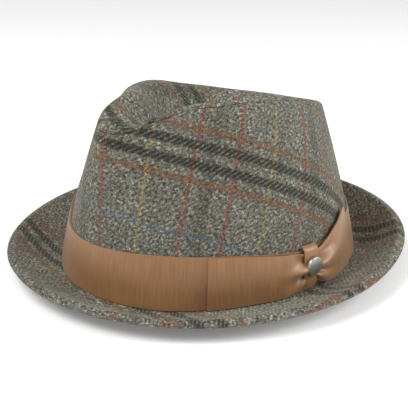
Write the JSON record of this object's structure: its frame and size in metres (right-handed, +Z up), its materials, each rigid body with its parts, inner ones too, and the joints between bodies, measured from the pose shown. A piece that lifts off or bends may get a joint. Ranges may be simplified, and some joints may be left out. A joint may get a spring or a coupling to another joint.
{
  "type": "wool trilby hat",
  "caption": "Grey-green plaid wool trilby with a teardrop crown, a narrow turned-up brim and a brown ribbed ribbon whose flat bow carries a plain metal stud",
  "frame": {"origin": "On the surface that the hat rests on, below the middle of the outline of the brim", "axes": "+Z up; the front of the hat looks along -Y; +X is the wearer's left, the side of the bow"},
  "size_m": [0.244, 0.2702, 0.1181],
  "materials": {
    "wool_tweed": "mottled grey-green twill wool with an orange, black, red, yellow and blue windowpane plaid",
    "ribbon_grosgrain": "brown ribbed ribbon with a soft sheen",
    "stud_metal": "dark brushed metal, blank"
  },
  "bodies": {
    "root": {"crown_tip": "wool_tweed", "crown_side": "wool_tweed", "brim": "wool_tweed", "ribbon_band": "ribbon_grosgrain", "bow_front_wing": "ribbon_grosgrain", "bow_back_wing": "ribbon_grosgrain", "bow_knot": "ribbon_grosgrain", "stud": "stud_metal"}
  },
  "joints": []
}
